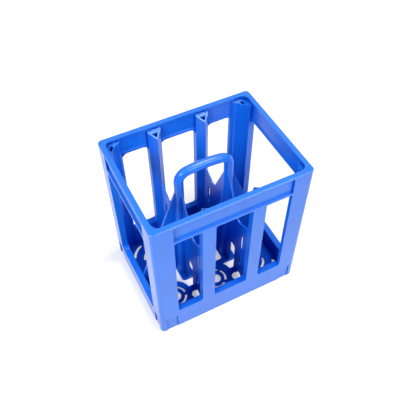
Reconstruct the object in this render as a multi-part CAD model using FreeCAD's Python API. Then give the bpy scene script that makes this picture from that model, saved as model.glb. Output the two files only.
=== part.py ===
"""Six-pocket crate for one-litre bottles, moulded in one piece.

The origin is at the middle of the underside. X runs along the long sides, Z is up, and
the crate is mirrored about both vertical middle planes.
"""
import FreeCAD
import Part
import math
import os

V = FreeCAD.Vector

# Overall size
LENGTH = 264.0
WIDTH = 200.0
HEIGHT = 288.0
CORNER_RADIUS = 7.0

# Walls
SKIN = 3.0
WALL_DEPTH = 11.0
RIM_WIDTH = 8.5
RIM_THICKNESS = 4.0
RIM_BEVEL = 1.0
RIM_INNER_RADIUS = 10.0
FOOT_BEVEL = 2.5

# Upper band, recessed outside and inside above the lip over the windows
PANEL_DEPTH = 3.5
LIP_HEIGHT = 3.0
LIP_BEVEL = 2.5
LIP_WALL = 7.5
BAND_WALL = 6.0
EDGE_RIB = 3.0

# Lead-in slope inside the rim, down to the tops of the guides
LEAD_DROP = 16.0
LEAD_RISE = 7.0

# Windows
LONG_SILL = 53.0
SHORT_SILL = 40.0
HEAD_DROP = 39.0
CORNER_POST_X = 98.0
CORNER_POST_Y = 70.0
POST_PITCH = 84.0
POST_WIDTH = 22.0
HEAD_RADIUS = 10.0
HEAD_OUTER_RADIUS = 3.5
HEAD_OUTER_DEPTH = 5.0
SILL_RADIUS = 5.0
SHORT_SILL_RADIUS = 10.0
JAMB_BEVEL = 4.0

# Guides of the middle posts and corner columns
GUIDE_DEPTH = 13.0
GUIDE_WALL = 2.4
COLUMN_POCKET_RADIUS = 48.0
COLUMN_HOLE_WALL = 1.5
COLUMN_HOLE_DEPTH = 5.0
COLUMN_HOLE_START = math.radians(40.0)
COLUMN_HOLE_PEAK = math.radians(50.0)
COLUMN_HOLE_END = math.radians(54.0)

# Floor
FLOOR_TOP = 6.0
FLOOR_THICKNESS = 3.0
POCKET_X = 81.0
POCKET_Y = 47.5
DRAIN_RADIUS = 9.5
SLOT_INNER_RADIUS = 16.0
SLOT_OUTER_RADIUS = 20.0
SLOT_ANGLE = 73.0
END_RING_RADIUS = 30.0
MIDDLE_RING_RADIUS = 34.0
SPINE_HALF_LENGTH = 55.3
SPINE_HALF_WIDTH = 23.5
SPINE_RADIUS = 7.0
SPINE_BAR = 9.0
FLOOR_RIB = 2.5

# Floor openings
END_SLOT_TURN = 52.5
VOID_END_X = 104.0
VOID_Y = 40.5
FOOT_HOLE_LENGTH = 26.0
FOOT_HOLE_WIDTH = 17.0
FOOT_HOLE_SHIFT = 1.0
CORNER_SLOT_INNER = 34.0
CORNER_SLOT_OUTER = 39.0
CORNER_SLOT_ANGLE = 50.0

# Inner webs and hubs
WEB = 3.0
WEB_PEAK_DROP = 61.2
WEB_VALLEY_Y = 43.0
WEB_VALLEY_Z = 147.5
WEB_VALLEY_RADIUS = 10.0
WEB_POST_Z = 167.5
WEB_GATE_TOP = 72.0
WEB_GATE_RADIUS = 6.0
WEB_SLOTS = ((41.0, 72.0), (91.0, 130.0))
WEB_SLOT_WIDTH = 7.0
WEB_SLOT_Y = 60.0
END_WEB_DROP = 59.0
END_WEB_CLEAR = 25.0
MIDDLE_WEB_TOP = 146.0
MIDDLE_WEB_HUB_Z = 178.0
HUB_X = 43.5
HUB_RADIUS = 10.5
HUB_CONE_DROP = 83.0
HUB_CONE_HEIGHT = 45.0
HUB_WALL = 2.9
HUB_BORE_DEPTH = 150.0
HUB_CLEARANCE = 2.0

# Handle
GRIP_RADIUS = 7.6
GRIP_BEND = 17.5
GRIP_SLOPE = math.radians(8.8)
GRIP_DROP = 17.5

# Recess at the foot of each corner post
FOOT_RECESS_SIDE = 10.5
FOOT_RECESS_HEIGHT = 37.0
FOOT_RECESS_DEPTH = 1.5

# Places that follow from the sizes
HALF_L = LENGTH / 2
HALF_W = WIDTH / 2
POST_X = POST_PITCH / 2
WALL_X = HALF_L - WALL_DEPTH
WALL_Y = HALF_W - WALL_DEPTH
RIM_BOTTOM = HEIGHT - RIM_THICKNESS
LEAD_BOTTOM = HEIGHT - LEAD_DROP
HEAD = HEIGHT - HEAD_DROP
WEB_PEAK = HEIGHT - WEB_PEAK_DROP
END_WEB_TOP = HEIGHT - END_WEB_DROP
HUB_CONE_TOP = HEIGHT - HUB_CONE_DROP
HUB_CONE_BOTTOM = HUB_CONE_TOP - HUB_CONE_HEIGHT
GRIP_AXIS_TOP = HEIGHT - GRIP_DROP
GUIDE_APEX_Y = WALL_Y - GUIDE_DEPTH
LEAD_SLOPE = LEAD_RISE / GUIDE_DEPTH
PAST = 1.0


def box(x0, x1, y0, y1, z0, z1):
    """Box between two corners."""
    return Part.makeBox(x1 - x0, y1 - y0, z1 - z0, V(x0, y0, z0))


def middle_box(half_x, half_y, z0, z1):
    """Box about the Z axis."""
    return box(-half_x, half_x, -half_y, half_y, z0, z1)


def prism(points, direction):
    """Closed outline through the points, swept by a vector."""
    wire = Part.makePolygon([V(*p) for p in points] + [V(*points[0])])
    return Part.Face(wire).extrude(V(*direction))


def rounded_outline(corners, radii):
    """Outline whose corners are rounded with one radius each, as a wire."""
    edges = []
    count = len(corners)
    marks = []
    for i in range(count):
        here = V(*corners[i])
        before = V(*corners[i - 1]) - here
        after = V(*corners[(i + 1) % count]) - here
        radius = radii[i]
        if radius == 0:
            marks.append((here, None, here))
            continue
        before.normalize()
        after.normalize()
        half = before.getAngle(after) / 2
        run = radius / math.tan(half)
        middle = before + after
        middle.normalize()
        centre = here + middle * (radius / math.sin(half))
        marks.append((here + before * run, centre - middle * radius, here + after * run))
    for i in range(count):
        start, through, end = marks[i]
        if through is not None:
            edges.append(Part.Arc(start, through, end).toShape())
        following = marks[(i + 1) % count][0]
        if (following - end).Length > 1e-6:
            edges.append(Part.makeLine(end, following))
    return Part.Wire(edges)


def rounded_prism(corners, radii, direction):
    """Solid swept from a rounded outline by a vector."""
    return Part.Face(rounded_outline(corners, radii)).extrude(V(*direction))


def rounded_block(half_x, half_y, radius, z0, z1):
    """Upright block about the Z axis with rounded vertical edges."""
    corners = [(-half_x, -half_y, z0), (half_x, -half_y, z0), (half_x, half_y, z0), (-half_x, half_y, z0)]
    return rounded_prism(corners, [radius] * 4, (0, 0, z1 - z0))


def signs():
    """The four quarters of the crate."""
    return [(sx, sy) for sx in (-1, 1) for sy in (-1, 1)]


def span(sign, a, b):
    """The range from a to b, or its mirror image, in rising order."""
    return (min(sign * a, sign * b), max(sign * a, sign * b))


def mirrored(shape, sx, sy):
    """Copy of a shape from the positive quarter, mirrored into another quarter."""
    result = shape.copy()
    if sx < 0:
        result = result.mirror(V(0, 0, 0), V(1, 0, 0))
    if sy < 0:
        result = result.mirror(V(0, 0, 0), V(0, 1, 0))
    return result


def outer_block():
    """Outside of the crate with a bevelled rim and foot."""
    block = rounded_block(HALF_L, HALF_W, CORNER_RADIUS, 0, HEIGHT)
    top = [e for e in block.Edges if e.BoundBox.ZMin > HEIGHT - 0.01]
    block = block.makeChamfer(RIM_BEVEL, top)
    foot = [e for e in block.Edges if e.BoundBox.ZMax < 0.01]
    return block.makeChamfer(FOOT_BEVEL, foot)


def window(axis, a0, a1, reach, sill, sill_radius, head_radius):
    """Window block through both walls that face along Y (axis 0) or along X (axis 1)."""
    outline = [(a0, sill), (a1, sill), (a1, HEAD), (a0, HEAD)]
    radii = [sill_radius, sill_radius, head_radius, head_radius]
    if axis == 0:
        return rounded_prism([(a, -reach, z) for a, z in outline], radii, (0, 2 * reach, 0))
    return rounded_prism([(-reach, a, z) for a, z in outline], radii, (2 * reach, 0, 0))


def bays():
    """X ranges of the three windows of a long side."""
    edge = POST_X + POST_WIDTH / 2
    inner = POST_X - POST_WIDTH / 2
    return [(-CORNER_POST_X, -edge), (-inner, inner), (edge, CORNER_POST_X)]


def windows():
    """All windows. The upper corners of the long ones are tighter in the outer layer of the wall."""
    cuts = [window(1, -CORNER_POST_Y, CORNER_POST_Y, HALF_L + PAST, SHORT_SILL, SHORT_SILL_RADIUS, HEAD_RADIUS)]
    inner = HALF_W - HEAD_OUTER_DEPTH
    for x0, x1 in bays():
        cuts.append(window(0, x0, x1, inner, LONG_SILL, SILL_RADIUS, HEAD_RADIUS))
        outer = window(0, x0, x1, HALF_W + PAST, LONG_SILL, SILL_RADIUS, HEAD_OUTER_RADIUS)
        cuts.append(outer.cut(middle_box(HALF_L, inner, 0, HEIGHT)))
    return cuts


def panel_cutter(axis, sign, half_run, half_depth):
    """Recess outside the upper band of one wall, with its bevelled lower edge."""
    face = sign * (half_depth - PANEL_DEPTH)
    flush = sign * half_depth
    beyond = sign * (half_depth + PAST)
    low = HEAD + LIP_HEIGHT
    outline = [(flush, low), (face, low + LIP_BEVEL), (face, RIM_BOTTOM), (beyond, RIM_BOTTOM), (beyond, low)]
    if axis == 0:
        return prism([(-half_run, d, z) for d, z in outline], (2 * half_run, 0, 0))
    return prism([(d, -half_run, z) for d, z in outline], (0, 2 * half_run, 0))


def bay_room(axis, a0, a1, half_depth):
    """Room inside the upper band over one window, recessed above the lip."""
    lip = half_depth - LIP_WALL
    deep = half_depth - BAND_WALL
    low = HEAD - HEAD_RADIUS
    shelf = HEAD + LIP_HEIGHT
    slope_top = shelf + LIP_BEVEL
    outline = [(-lip, low), (lip, low), (lip, shelf), (deep, slope_top), (deep, RIM_BOTTOM),
               (-deep, RIM_BOTTOM), (-deep, slope_top), (-lip, shelf)]
    if axis == 0:
        return prism([(a0, d, z) for d, z in outline], (a1 - a0, 0, 0))
    return prism([(d, a0, z) for d, z in outline], (0, a1 - a0, 0))


def lead_in(grow):
    """Room above the lead-in slope, out to a distance beyond the inner faces of the walls."""
    high_z = LEAD_BOTTOM + LEAD_SLOPE * (GUIDE_DEPTH + grow)
    rings = []
    for offset, z in ((-GUIDE_DEPTH, LEAD_BOTTOM), (grow, high_z)):
        x = WALL_X + offset
        y = WALL_Y + offset
        corners = [V(-x, -y, z), V(x, -y, z), V(x, y, z), V(-x, y, z)]
        rings.append(Part.makePolygon(corners + [corners[0]]))
    slope = Part.makeLoft(rings, True, True)
    return slope.fuse(middle_box(WALL_X + grow, WALL_Y + grow, high_z, RIM_BOTTOM))


def lead_in_rooms():
    """Rooms inside the rim: flush with it at the edge ribs of the posts, deeper between the ribs."""
    flush = lead_in(WALL_DEPTH - RIM_WIDTH)
    deep = lead_in(WALL_DEPTH - BAND_WALL)
    rooms = [flush]
    half = POST_WIDTH / 2 - EDGE_RIB
    post = box(POST_X - half, POST_X + half, 0, HALF_W, LEAD_BOTTOM, RIM_BOTTOM)
    corner = box(CORNER_POST_X + EDGE_RIB, HALF_L, CORNER_POST_Y + EDGE_RIB, HALF_W, LEAD_BOTTOM, RIM_BOTTOM)
    for sx, sy in signs():
        rooms.append(deep.common(mirrored(post, sx, sy)))
        rooms.append(deep.common(mirrored(corner, sx, sy)))
    return rooms


def column_region(inset, z0, z1):
    """Upright space of one corner column in the positive quarter, shrunk by an inset."""
    x0 = CORNER_POST_X + inset
    y0 = CORNER_POST_Y + inset
    outer = rounded_block(HALF_L - inset, HALF_W - inset, CORNER_RADIUS - inset, z0, z1)
    quarter = outer.common(box(x0, HALF_L, y0, HALF_W, z0, z1))
    pocket = Part.makeCylinder(COLUMN_POCKET_RADIUS + inset, z1 - z0, V(POCKET_X, POCKET_Y, z0))
    return quarter.cut(pocket)


def jamb_bevel():
    """Bevel on the inner edge of a corner post beside the long window, in the positive quarter."""
    x = CORNER_POST_X
    points = [(x - PAST, WALL_Y - PAST, LONG_SILL), (x + JAMB_BEVEL + PAST, WALL_Y - PAST, LONG_SILL),
              (x - PAST, WALL_Y + JAMB_BEVEL + PAST, LONG_SILL)]
    return prism(points, (0, 0, RIM_BOTTOM - LONG_SILL))


def guide():
    """Triangular bottle guide on the inner face of a middle post, in the positive quarter."""
    half = POST_WIDTH / 2
    points = [(POST_X - half, WALL_Y, 0), (POST_X + half, WALL_Y, 0), (POST_X, GUIDE_APEX_Y, 0)]
    return prism(points, (0, 0, RIM_BOTTOM))


def guide_bore():
    """Triangular bore of a guide, open at both ends, in the positive quarter."""
    base_y = WALL_Y - GUIDE_WALL
    slant = math.hypot(POST_WIDTH / 2, GUIDE_DEPTH)
    apex_y = GUIDE_APEX_Y + GUIDE_WALL * slant / (POST_WIDTH / 2)
    half = (base_y - apex_y) * (POST_WIDTH / 2) / GUIDE_DEPTH
    points = [(POST_X - half, base_y, -PAST), (POST_X + half, base_y, -PAST), (POST_X, apex_y, -PAST)]
    return prism(points, (0, 0, HEIGHT))


def column_hole():
    """Triangular hole from the sloping top of a corner column into its hollow, in the positive quarter."""
    low = LEAD_BOTTOM - SKIN - PAST
    near = COLUMN_POCKET_RADIUS + COLUMN_HOLE_WALL
    far = near + COLUMN_HOLE_DEPTH
    points = []
    for radius, turn in ((near, COLUMN_HOLE_START), (far, COLUMN_HOLE_PEAK), (near, COLUMN_HOLE_END)):
        points.append((POCKET_X + radius * math.cos(turn), POCKET_Y + radius * math.sin(turn), low))
    return prism(points, (0, 0, RIM_BOTTOM - low))


def walls():
    """Walls, posts, corner columns and guides around the inner room, with the windows cut."""
    body = outer_block().cut(middle_box(WALL_X, WALL_Y, -PAST, RIM_BOTTOM))
    column = column_region(0, FOOT_BEVEL, RIM_BOTTOM)
    parts = []
    for sx, sy in signs():
        parts += [mirrored(column, sx, sy), mirrored(guide(), sx, sy)]
    cuts = windows() + lead_in_rooms()
    cuts.append(rounded_block(HALF_L - RIM_WIDTH, HALF_W - RIM_WIDTH, RIM_INNER_RADIUS, RIM_BOTTOM - PAST,
                              HEIGHT + PAST))
    for x0, x1 in bays():
        cuts.append(bay_room(0, x0, x1, HALF_W))
    cuts.append(bay_room(1, -CORNER_POST_Y, CORNER_POST_Y, HALF_L))
    for sign in (-1, 1):
        cuts.append(panel_cutter(0, sign, CORNER_POST_X, HALF_W))
        cuts.append(panel_cutter(1, sign, CORNER_POST_Y, HALF_L))
    for sx, sy in signs():
        cuts.append(mirrored(jamb_bevel(), sx, sy))
    return body.fuse(parts).cut(cuts)


def cavities():
    """Hollows of the double wall, of the posts and of the corner columns, open beneath."""
    shapes = []
    outer_y = HALF_W - SKIN
    inner_y = WALL_Y + SKIN
    outer_x = HALF_L - SKIN
    inner_x = WALL_X + SKIN
    for sign in (-1, 1):
        y0, y1 = span(sign, inner_y, outer_y)
        for x0, x1 in bays():
            shapes.append(box(x0, x1, y0, y1, -PAST, LONG_SILL - SKIN))
        x0, x1 = span(sign, inner_x, outer_x)
        shapes.append(box(x0, x1, -CORNER_POST_Y, CORNER_POST_Y, -PAST, SHORT_SILL - SKIN))
    half = POST_WIDTH / 2 - SKIN
    post = box(POST_X - half, POST_X + half, inner_y, outer_y, -PAST, HEAD)
    hollow = column_region(SKIN, -PAST, LEAD_BOTTOM - SKIN)
    for sx, sy in signs():
        shapes += [mirrored(shape, sx, sy) for shape in (post, hollow, column_hole(), guide_bore())]
    return shapes


def arc_slot(cx, cy, angle, inner, outer, sweep, z0, z1):
    """Curved slot with straight ends about a centre, its middle at the given angle."""
    half = math.radians(sweep) / 2
    mid = math.radians(angle)

    def at(radius, turn):
        return V(cx + radius * math.cos(mid + turn), cy + radius * math.sin(mid + turn), z0)

    edges = [Part.Arc(at(outer, -half), at(outer, 0), at(outer, half)).toShape(),
             Part.makeLine(at(outer, half), at(inner, half)),
             Part.Arc(at(inner, half), at(inner, 0), at(inner, -half)).toShape(),
             Part.makeLine(at(inner, -half), at(outer, -half))]
    return Part.Face(Part.Wire(edges)).extrude(V(0, 0, z1 - z0))


def pockets():
    """Centre, ring radius and slot angle of the six bottle pockets."""
    result = []
    for sy in (-1, 1):
        result.append((0.0, sy * POCKET_Y, MIDDLE_RING_RADIUS, 0.0))
        for sx in (-1, 1):
            result.append((sx * POCKET_X, sy * POCKET_Y, END_RING_RADIUS, -sx * sy * END_SLOT_TURN))
    return result


def disc(x, y, radius, z0, z1):
    """Upright cylinder at a place."""
    return Part.makeCylinder(radius, z1 - z0, V(x, y, z0))


def floor_plate():
    """Floor with the ribs under it, before the openings."""
    x = WALL_X + SKIN / 2
    y = WALL_Y + SKIN / 2
    under = FLOOR_TOP - FLOOR_THICKNESS
    shapes = [middle_box(x, y, under, FLOOR_TOP)]
    for cx, cy, ring, turn in pockets():
        shapes.append(disc(cx, cy, ring, under, FLOOR_TOP))
    spine = rounded_block(SPINE_HALF_LENGTH, SPINE_HALF_WIDTH, SPINE_RADIUS, 0, FLOOR_TOP)
    core = middle_box(SPINE_HALF_LENGTH - FLOOR_RIB, SPINE_HALF_WIDTH - FLOOR_RIB, 0, under)
    shapes.append(spine.cut(core))
    rib = box(POST_X - FLOOR_RIB / 2, POST_X + FLOOR_RIB / 2, SPINE_HALF_WIDTH - FLOOR_RIB, y, 0, FLOOR_TOP)
    shapes += [mirrored(rib, sx, sy) for sx, sy in signs()]
    for cx, cy, ring, turn in pockets():
        y0, y1 = span(math.copysign(1, cy), abs(cy) + SLOT_OUTER_RADIUS, y)
        shapes.append(box(cx - FLOOR_RIB / 2, cx + FLOOR_RIB / 2, y0, y1, 0, FLOOR_TOP))
    return shapes


def floor_openings():
    """Drain holes, curved slots and the wide openings between the pocket rings."""
    low = -PAST
    high = FLOOR_TOP + PAST
    cuts = []
    for cx, cy, ring, turn in pockets():
        cuts.append(disc(cx, cy, DRAIN_RADIUS, low, high))
        for k in range(4):
            cuts.append(arc_slot(cx, cy, turn + 90 * k, SLOT_INNER_RADIUS, SLOT_OUTER_RADIUS,
                                 SLOT_ANGLE, low, high))
    discs = [disc(cx, cy, ring, low, high) for cx, cy, ring, turn in pockets()]
    spine = rounded_block(SPINE_HALF_LENGTH, SPINE_HALF_WIDTH, SPINE_RADIUS, low, high)
    cuts.append(middle_box(VOID_END_X, VOID_Y, low, high).cut(discs + [spine]))
    cuts.append(rounded_block(HUB_X - HUB_RADIUS - HUB_CLEARANCE, SPINE_HALF_WIDTH - SPINE_BAR,
                              SILL_RADIUS, low, high))
    for sx, sy in signs():
        foot = rounded_block(FOOT_HOLE_LENGTH / 2, FOOT_HOLE_WIDTH / 2, FOOT_HOLE_WIDTH / 2 - 0.01, low, high)
        foot.translate(V(sx * (POST_X - FOOT_HOLE_SHIFT), sy * WEB_SLOT_Y, 0))
        cuts.append(foot)
        corner = arc_slot(sx * POCKET_X, sy * POCKET_Y, math.degrees(math.atan2(sy, sx)),
                          CORNER_SLOT_INNER, CORNER_SLOT_OUTER, CORNER_SLOT_ANGLE, low, high)
        cuts.append(corner)
    return cuts


def cross_web(sx):
    """Web between a hub and the two middle posts of the long sides."""
    x = sx * POST_X - WEB / 2
    side = x - PAST
    through = (WEB + 2 * PAST, 0, 0)
    shapes = []
    for sy in (-1, 1):
        apex = GUIDE_APEX_Y + GUIDE_WALL / 2
        corners = [(x, 0, FLOOR_THICKNESS), (x, 0, WEB_PEAK), (x, sy * GRIP_RADIUS, WEB_PEAK),
                   (x, sy * WEB_VALLEY_Y, WEB_VALLEY_Z), (x, sy * apex, WEB_POST_Z), (x, sy * apex, FLOOR_THICKNESS)]
        web = rounded_prism(corners, [0, 0, 0, WEB_VALLEY_RADIUS, 0, 0], (WEB, 0, 0))
        y0, y1 = span(sy, SPINE_HALF_WIDTH, VOID_Y)
        gate = [(side, y0, -WEB_GATE_TOP), (side, y1, -WEB_GATE_TOP),
                (side, y1, WEB_GATE_TOP), (side, y0, WEB_GATE_TOP)]
        cuts = [rounded_prism(gate, [0, 0, WEB_GATE_RADIUS, WEB_GATE_RADIUS], through)]
        half = WEB_SLOT_WIDTH / 2
        mid = sy * WEB_SLOT_Y
        for z0, z1 in WEB_SLOTS:
            slot = [(side, mid - half, z0), (side, mid + half, z0), (side, mid + half, z1), (side, mid - half, z1)]
            cuts.append(prism(slot, through))
        cuts.append(Part.makeCylinder(FOOT_HOLE_WIDTH / 2, WEB + 2 * PAST, V(side, mid, FLOOR_TOP), V(1, 0, 0)))
        shapes.append(web.cut(cuts))
    return shapes


def end_web(sx):
    """Sloping web between a hub and a short side, raised clear of the floor beside the hub."""
    y = -WEB / 2
    top_x = HUB_X + GRIP_RADIUS
    end_x = WALL_X + SKIN / 2
    corners = [(sx * HUB_X, y, END_WEB_CLEAR), (sx * HUB_X, y, END_WEB_TOP), (sx * top_x, y, END_WEB_TOP),
               (sx * end_x, y, SHORT_SILL - SKIN), (sx * end_x, y, FLOOR_THICKNESS),
               (sx * VOID_END_X, y, FLOOR_THICKNESS), (sx * VOID_END_X, y, END_WEB_CLEAR)]
    return rounded_prism(corners, [0, 0, 0, 0, 0, 0, WEB_GATE_RADIUS], (0, WEB, 0))


def middle_web():
    """Web between the two hubs, with a hollow upper edge."""
    y = -WEB / 2
    top = V(HUB_X, y, MIDDLE_WEB_HUB_Z)
    low = V(0, y, MIDDLE_WEB_TOP)
    end = V(-HUB_X, y, MIDDLE_WEB_HUB_Z)
    right = V(HUB_X, y, END_WEB_CLEAR)
    left = V(-HUB_X, y, END_WEB_CLEAR)
    edges = [Part.Arc(top, low, end).toShape(), Part.makeLine(end, left),
             Part.makeLine(left, right), Part.makeLine(right, top)]
    return Part.Face(Part.Wire(edges)).extrude(V(0, WEB, 0))


def hub(sx):
    """Round hub that narrows to the leg of the handle."""
    post = disc(sx * HUB_X, 0, HUB_RADIUS, 0, HUB_CONE_BOTTOM)
    cone = Part.makeCone(HUB_RADIUS, GRIP_RADIUS, HUB_CONE_TOP - HUB_CONE_BOTTOM, V(sx * HUB_X, 0, HUB_CONE_BOTTOM))
    return post.fuse(cone)


def handle():
    """Round handle: two legs, two bends and a slightly arched bar, swept as one tube."""
    bend_x = HUB_X - GRIP_BEND
    reach = bend_x + GRIP_BEND * math.sin(GRIP_SLOPE)
    arch = reach / math.sin(GRIP_SLOPE)
    bend_top = GRIP_AXIS_TOP - arch * (1 - math.cos(GRIP_SLOPE))
    bend_z = bend_top - GRIP_BEND * math.cos(GRIP_SLOPE)

    def on_bend(sx, turn):
        return V(sx * (bend_x + GRIP_BEND * math.cos(turn)), 0, bend_z + GRIP_BEND * math.sin(turn))

    full = math.pi / 2 - GRIP_SLOPE
    left = [V(-HUB_X, 0, HUB_CONE_TOP), on_bend(-1, 0), on_bend(-1, full / 2), on_bend(-1, full)]
    right = [on_bend(1, full), on_bend(1, full / 2), on_bend(1, 0), V(HUB_X, 0, HUB_CONE_TOP)]
    edges = [Part.makeLine(left[0], left[1]), Part.Arc(left[1], left[2], left[3]).toShape(),
             Part.Arc(left[3], V(0, 0, GRIP_AXIS_TOP), right[0]).toShape(),
             Part.Arc(right[0], right[1], right[2]).toShape(), Part.makeLine(right[2], right[3])]
    section = Part.Wire([Part.makeCircle(GRIP_RADIUS, left[0], V(0, 0, 1))])
    return Part.Wire(edges).makePipeShell([section], True, True)


def foot_recesses():
    """Shallow recesses at the foot of a corner post, on its two outer faces, in the positive quarter."""
    x0 = CORNER_POST_X + EDGE_RIB
    y0 = CORNER_POST_Y + EDGE_RIB
    x1 = HALF_L - FOOT_RECESS_SIDE
    y1 = HALF_W - FOOT_RECESS_SIDE
    return [box(x0, x1, HALF_W - FOOT_RECESS_DEPTH, HALF_W + PAST, -PAST, FOOT_RECESS_HEIGHT),
            box(HALF_L - FOOT_RECESS_DEPTH, HALF_L + PAST, y0, y1, -PAST, FOOT_RECESS_HEIGHT)]


def crate():
    """The whole moulding."""
    parts = floor_plate() + [middle_web(), handle()]
    cuts = cavities() + floor_openings()
    for sx in (-1, 1):
        parts += cross_web(sx)
        parts += [end_web(sx), hub(sx)]
        cuts.append(disc(sx * HUB_X, 0, HUB_RADIUS - HUB_WALL, -PAST, HUB_BORE_DEPTH))
    for sx, sy in signs():
        cuts += [mirrored(recess, sx, sy) for recess in foot_recesses()]
    return walls().fuse(parts).cut(cuts).removeSplitter()


os.makedirs("parts", exist_ok=True)
result = crate()
print("valid", result.isValid(), "solids", len(result.Solids), "volume", result.Volume / 1000)
result.Solids[0].exportStep("parts/crate.step")
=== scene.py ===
"""Looks of a moulded blue bottle crate: satin plastic with cloudy fading, painted shade inside it and in its
hollows and a painted highlight along its edges, the mould seam of the handle, plain soft studio light and the
photograph's camera."""

import math

import bpy
import numpy as np
from mathutils import Matrix, Vector


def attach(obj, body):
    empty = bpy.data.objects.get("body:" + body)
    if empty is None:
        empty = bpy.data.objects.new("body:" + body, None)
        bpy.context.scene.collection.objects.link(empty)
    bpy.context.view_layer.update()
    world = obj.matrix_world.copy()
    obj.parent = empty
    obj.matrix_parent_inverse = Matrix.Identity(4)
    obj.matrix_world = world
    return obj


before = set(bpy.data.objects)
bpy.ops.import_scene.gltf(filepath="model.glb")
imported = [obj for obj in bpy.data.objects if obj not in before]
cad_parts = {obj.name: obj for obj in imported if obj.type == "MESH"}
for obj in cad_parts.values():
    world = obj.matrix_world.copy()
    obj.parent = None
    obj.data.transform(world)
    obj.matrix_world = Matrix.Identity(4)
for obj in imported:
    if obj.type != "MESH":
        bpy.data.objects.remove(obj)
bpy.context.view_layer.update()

# Blue plastic: its colours from the painted shade of its inside and hollows to the worn edges with their painted
# highlight, then its edges, bump and gloss
# Painted shade: the deeper blue that the inside of the crate takes
INSIDE_SHADE = (0.001, 0.075, 0.64, 1)
# Painted shade: the near-black blue of tight creases and deep bays
HOLLOW_SHADE = (0.001, 0.030, 0.28, 1)
DEEP = (0.005, 0.155, 0.77, 1)
FADED = (0.007, 0.185, 0.87, 1)
# Lighter blue: a painted highlight on every convex edge, and wear where the edges are rubbed
WORN_AND_EDGE_HIGHLIGHT = (0.22, 0.52, 1.0, 1)
EDGE_SOFTNESS = 0.0008
CREASE_REACH = 0.005
SHADE_REACH = 0.09
BUMP_DEPTH = 0.00035
BUMP_STRENGTH = 0.35
PLASTIC_IOR = 1.12
GLOSS_IOR = 1.5
GLOSS_ROUGHNESS = 0.24

# Handle in the CAD's sizes, and the seam that ends just above the peaks of the webs
GRIP_X = 0.0435
GRIP_TOP = 0.2705
GRIP_RADIUS = 0.0076
GRIP_BEND = 0.0175
GRIP_SLOPE = math.radians(8.8)
SEAM_FOOT = 0.2275
SEAM_WIDTH = 0.0007
SEAM_HEIGHT = 0.00035
SEAM_FADE = 0.04
SEAM_RINGS = 240
SEAM_SIDES = 10

# Studio: name, place, size and power of each lamp
LAMPS = (("top", (0.5, 0.0, 1.85), 0.7, 18.0),
         ("front", (0.55, -1.45, 1.2), 0.9, 11.5),
         ("left", (-1.45, -0.75, 1.3), 0.7, 23.0))
LAMP_AIM = Vector((0, 0, 0.14))
WORLD_LIGHT = 0.26
FLOOR_COLOUR = (0.82, 0.80, 0.76, 1)
FLOOR_REACH = 6
FLOOR_GLOW = 0.36
GLOW_START = 0.4
GLOW_END = 1.4

# Camera, with its lengths given in lengths of the crate
CRATE_LENGTH = 0.264
CRATE_MIDDLE = Vector((0, 0, 0.144))
CAMERA_TURN = -0.49114
CAMERA_RISE = 0.91031
CAMERA_ROLL = 0.01367
CAMERA_BACK = 3.53361
CAMERA_RIGHT = 0.03834
CAMERA_UP = 0.02685
FOCAL_PIXELS = 551.16
IMAGE_PIXELS = 420
SENSOR = 36.0


class Socket:
    """A node's output with the arithmetic that the finishes use."""

    def __init__(self, finish, link):
        self.finish = finish
        self.link = link

    def math(self, operation, *others):
        return self.finish.node("ShaderNodeMath", {"operation": operation}, [self, *others])

    def __add__(self, other):
        return self.math("ADD", other)

    def __radd__(self, other):
        return self.math("ADD", other)

    def __rsub__(self, other):
        return self.finish.node("ShaderNodeMath", {"operation": "SUBTRACT"}, [other, self])

    def __mul__(self, other):
        return self.math("MULTIPLY", other)

    def __rmul__(self, other):
        return self.math("MULTIPLY", other)

    def clamp(self):
        return self.math("MINIMUM", 1.0).math("MAXIMUM", 0.0)


class Finish:
    """Node tree of one material or of the world: makes nodes, sets them and links their sockets."""

    def __init__(self, owner):
        self.owner = owner
        owner.use_nodes = True
        self.tree = owner.node_tree
        self.tree.nodes.clear()

    def node(self, kind, settings=None, inputs=None, output=0):
        """Adds a node, applies its settings, then fills its sockets by place or by name."""
        made = self.tree.nodes.new(kind)
        for key, value in (settings or {}).items():
            setattr(made, key, value)
        pairs = inputs.items() if isinstance(inputs, dict) else enumerate(inputs or [])
        for key, value in pairs:
            socket = made.inputs[key]
            if isinstance(value, Socket):
                self.tree.links.new(value.link, socket)
            else:
                socket.default_value = value
        return Socket(self, made.outputs[output]) if made.outputs else made

    def place(self, scale=(1, 1, 1)):
        """Object coordinates in metres, multiplied by a scale per axis."""
        spot = self.node("ShaderNodeTexCoord", output="Object")
        return self.node("ShaderNodeMapping", {}, {"Vector": spot, "Scale": scale})

    def noise(self, where, scale, detail=3.0, roughness=0.5):
        """Noise from 0 to 1 with so many waves to the metre."""
        sockets = {"Vector": where, "Scale": scale, "Detail": detail, "Roughness": roughness}
        return self.node("ShaderNodeTexNoise", {}, sockets, "Fac")

    def openness(self, reach):
        """1 where nothing of the same piece stands within reach, falling to 0 in its hollows."""
        settings = {"samples": 8, "only_local": True}
        return self.node("ShaderNodeAmbientOcclusion", settings, {"Distance": reach}, "AO")

    def spread(self, value, low, high):
        """A value stretched so that low gives 0 and high gives 1, held between them."""
        return self.node("ShaderNodeMapRange", {"clamp": True}, [value, low, high, 0.0, 1.0])

    def mix(self, factor, first, second):
        """Blend of two colours."""
        return self.node("ShaderNodeMix", {"data_type": "RGBA"}, {0: factor, 6: first, 7: second}, 2)

    def vector_math(self, operation, vectors):
        """Number that a vector operation gives."""
        return self.node("ShaderNodeVectorMath", {"operation": operation}, vectors, "Value")

    def ray(self, kind):
        """1 for light rays of one kind."""
        return self.node("ShaderNodeLightPath", output=kind)

    def seen(self):
        """1 for the rays that show the surroundings: to the camera, in gloss and through clear things."""
        return (self.ray("Is Camera Ray") + self.ray("Is Glossy Ray") + self.ray("Is Transmission Ray")).clamp()


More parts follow.
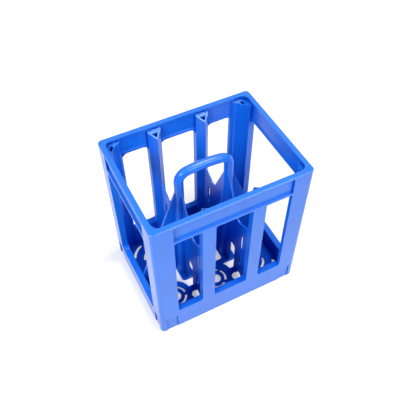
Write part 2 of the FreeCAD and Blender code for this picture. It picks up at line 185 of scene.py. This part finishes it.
def crate_plastic():
    """Blue polyethylene, with painted shade that darkens its inside and cloudy fading outside.

    It has cloudy and streaky fading, painted shade in its hollows, a painted highlight on its convex edges, rubbed
    edges, level scuffs, and a bump of slow waviness and fine grain over softened edges. An edge is where the
    softened normal departs from the plain one.
    """
    finish = Finish(bpy.data.materials.new("crate_plastic"))
    where = finish.place()
    cloud = finish.noise(where, 9.0, 2.0)
    flow = finish.noise(finish.place((70, 70, 5)), 1.0)
    grain = finish.noise(where, 2600.0, 2.0)
    waviness = finish.noise(where, 45.0, 2.0)
    scuff = finish.spread(finish.noise(finish.place((30, 30, 260)), 1.0, 4.0, 0.7), 0.6, 0.8)
    crease = finish.openness(CREASE_REACH)
    # Openness within 9 cm: low inside the crate, where it brings the painted shade; it also sets the gloss
    wide_openness = finish.openness(SHADE_REACH)

    soft = finish.node("ShaderNodeBevel", {"samples": 6}, {"Radius": EDGE_SOFTNESS})
    plain = finish.node("ShaderNodeNewGeometry", output="Normal")
    likeness = finish.vector_math("DOT_PRODUCT", [soft, plain])
    # Convex edges away from creases, where the painted highlight and the rubbed wear go
    edge = finish.spread(1 - likeness, 0.01, 0.16) * finish.spread(crease, 0.5, 0.9)
    rub = edge * finish.spread(finish.noise(where, 220.0, 4.0, 0.6), 0.42, 0.62)

    outer = finish.mix(finish.spread(cloud * 0.6 + flow * 0.4, 0.35, 0.65), DEEP, FADED)
    # Painted shade: the colour darkens to the deeper inside blue where the piece is closed in
    body = finish.mix(finish.spread(wide_openness, 0.2, 0.9), INSIDE_SHADE, outer)
    # Painted shade: the colour darkens to near-black blue in tight creases and deep inside
    clear_of_shade = finish.spread(crease, 0.25, 0.75) * finish.spread(wide_openness, 0.06, 0.42)
    # Painted highlight: every convex edge is lightened a little, and more where the rub noise adds wear
    colour = finish.mix(edge * 0.2 + rub * 0.35, finish.mix(clear_of_shade, HOLLOW_SHADE, body), WORN_AND_EDGE_HIGHLIGHT)

    bump = finish.node("ShaderNodeBump", {}, {
        "Strength": BUMP_STRENGTH, "Distance": BUMP_DEPTH, "Height": waviness * 0.6 + grain * 0.05, "Normal": soft})
    shader = finish.node("ShaderNodeBsdfPrincipled", {}, {
        "Base Color": colour, "Roughness": 0.38 + cloud * 0.08 + scuff * 0.10, "Normal": bump, "IOR": PLASTIC_IOR,
        "Coat Weight": finish.spread(wide_openness, 0.68, 0.97), "Coat Roughness": GLOSS_ROUGHNESS,
        "Coat IOR": GLOSS_IOR})
    finish.node("ShaderNodeOutputMaterial", {}, {"Surface": shader})
    return finish.owner


def studio_floor():
    """Pale matte floor that keeps the crate's soft shadow near it and glows to white further out.

    The glow grows evenly with the distance from the crate's middle, from its own value to full.
    """
    finish = Finish(bpy.data.materials.new("studio_floor"))
    out = finish.vector_math("LENGTH", [finish.place()])
    glow = FLOOR_GLOW + (1 - FLOOR_GLOW) * finish.spread(out, GLOW_START, GLOW_END)
    tint = finish.mix(finish.seen() * glow, (0, 0, 0, 1), (1, 1, 1, 1))
    matte = finish.node("ShaderNodeBsdfDiffuse", {}, {"Color": FLOOR_COLOUR})
    bright = finish.node("ShaderNodeEmission", {}, {"Color": tint})
    both = finish.node("ShaderNodeAddShader", {}, [matte, bright])
    finish.node("ShaderNodeOutputMaterial", {}, {"Surface": both})
    return finish.owner


def white_world():
    """White surroundings for camera and gloss, with a milder light for the surfaces."""
    world = bpy.data.worlds.new("studio")
    bpy.context.scene.world = world
    finish = Finish(world)
    strength = WORLD_LIGHT + (1 - WORLD_LIGHT) * finish.seen()
    sky = finish.node("ShaderNodeBackground", {}, {"Color": (1, 1, 1, 1), "Strength": strength})
    finish.node("ShaderNodeOutputWorld", {}, {"Surface": sky})


def add_object(name, data):
    """Object of the scene that shows a mesh, lamp or camera."""
    added = bpy.data.objects.new(name, data)
    bpy.context.scene.collection.objects.link(added)
    return added


def add_piece(name, points, faces, material):
    """Mesh object at the origin from an array of points and a list of faces."""
    mesh = bpy.data.meshes.new(name)
    mesh.from_pydata(points.tolist(), [], faces)
    mesh.materials.append(material)
    return add_object(name, mesh)


def grip_line():
    """Middle line of the handle from one leg to the other, down to just above the peaks of the webs.

    The heading in the XZ plane runs straight up, turns over the first bend, eases over the arched bar, turns down
    the second bend and runs straight down. It is interpolated over the length, and the place is the running sum of
    its cosine and sine.
    """
    bend_x = GRIP_X - GRIP_BEND
    arch = (bend_x + GRIP_BEND * math.sin(GRIP_SLOPE)) / math.sin(GRIP_SLOPE)
    bend_z = GRIP_TOP - arch * (1 - math.cos(GRIP_SLOPE)) - GRIP_BEND * math.cos(GRIP_SLOPE)
    bend = GRIP_BEND * (math.pi / 2 - GRIP_SLOPE)
    leg = bend_z - SEAM_FOOT
    runs = [0, leg, bend, 2 * arch * GRIP_SLOPE, bend, leg]
    turns = [math.pi / 2, math.pi / 2, GRIP_SLOPE, -GRIP_SLOPE, -math.pi / 2, -math.pi / 2]
    length = np.linspace(0, sum(runs), SEAM_RINGS)
    heading = np.interp(length, np.cumsum(runs), turns)
    step = length[1] - length[0]
    middle = (heading[1:] + heading[:-1]) / 2
    x = -GRIP_X + np.concatenate([[0], np.cumsum(np.cos(middle) * step)])
    z = SEAM_FOOT + np.concatenate([[0], np.cumsum(np.sin(middle) * step)])
    return x, z, heading


def grip_seam(side):
    """Raised mould seam on one flank of the handle.

    Its section is an ellipse centred on the flank of the round bar, half of it sunk in the bar, carried along the
    middle line and thinned at both ends by the square root of the distance from the end.
    """
    x, z, heading = grip_line()
    place = np.linspace(0, 1, SEAM_RINGS)
    fade = np.sqrt(np.clip(np.minimum(place, 1 - place) / SEAM_FADE, 0.01, 1))
    turn = np.linspace(0, 2 * math.pi, SEAM_SIDES, endpoint=False)
    across = np.outer(fade, np.cos(turn)) * SEAM_WIDTH / 2
    proud = np.outer(fade, np.sin(turn)) * SEAM_HEIGHT
    points = np.stack([x[:, None] - np.sin(heading)[:, None] * across,
                       side * (GRIP_RADIUS + proud),
                       z[:, None] + np.cos(heading)[:, None] * across], axis=2).reshape(-1, 3)
    ring = np.arange(SEAM_SIDES)
    first = np.arange(SEAM_RINGS - 1)[:, None] * SEAM_SIDES
    here = (first + ring).ravel()
    beside = (first + (ring + 1) % SEAM_SIDES).ravel()
    quads = np.stack([here, beside, beside + SEAM_SIDES, here + SEAM_SIDES], axis=1)
    caps = np.stack([ring[::-1], (SEAM_RINGS - 1) * SEAM_SIDES + ring])
    if side > 0:
        quads = quads[:, ::-1]
        caps = caps[:, ::-1]
    return points, quads.tolist() + caps.tolist()


def add_lamp(name, place, size, power):
    """Square soft lamp that faces the middle of the crate."""
    data = bpy.data.lights.new(name, "AREA")
    data.shape = "SQUARE"
    data.size = size
    data.energy = power
    body = add_object(name, data)
    body.location = place
    body.rotation_euler = (LAMP_AIM - Vector(place)).to_track_quat("-Z", "Y").to_euler()


def photo_camera():
    """Camera fitted to the photograph: turn, height angle and roll about the crate's middle."""
    back = Vector((math.sin(CAMERA_TURN) * math.cos(CAMERA_RISE),
                   -math.cos(CAMERA_TURN) * math.cos(CAMERA_RISE),
                   math.sin(CAMERA_RISE)))
    level = Vector((0, 0, 1)).cross(back).normalized()
    upright = back.cross(level)
    right = level * math.cos(CAMERA_ROLL) + upright * math.sin(CAMERA_ROLL)
    up = upright * math.cos(CAMERA_ROLL) - level * math.sin(CAMERA_ROLL)
    data = bpy.data.cameras.new("photo_camera")
    data.sensor_width = SENSOR
    data.lens = FOCAL_PIXELS / IMAGE_PIXELS * SENSOR
    camera = add_object("photo_camera", data)
    place = CRATE_MIDDLE + (back * CAMERA_BACK + right * CAMERA_RIGHT + up * CAMERA_UP) * CRATE_LENGTH
    camera.matrix_world = Matrix.Translation(place) @ Matrix((right, up, back)).transposed().to_4x4()
    bpy.context.scene.camera = camera


plastic = crate_plastic()
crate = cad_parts["crate"]
crate.data.materials.clear()
crate.data.materials.append(plastic)

for side, name in ((-1, "grip_seam_front"), (1, "grip_seam_back")):
    seam = add_piece(name, *grip_seam(side), plastic)
    seam.data.shade_smooth()
    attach(seam, "root")

corners = np.array([(-1, -1, 0), (1, -1, 0), (1, 1, 0), (-1, 1, 0)]) * FLOOR_REACH
add_piece("floor", corners, [(0, 1, 2, 3)], studio_floor())

white_world()
for name, place, size, power in LAMPS:
    add_lamp(name, place, size, power)
photo_camera()
bpy.context.scene.view_settings.view_transform = "Standard"
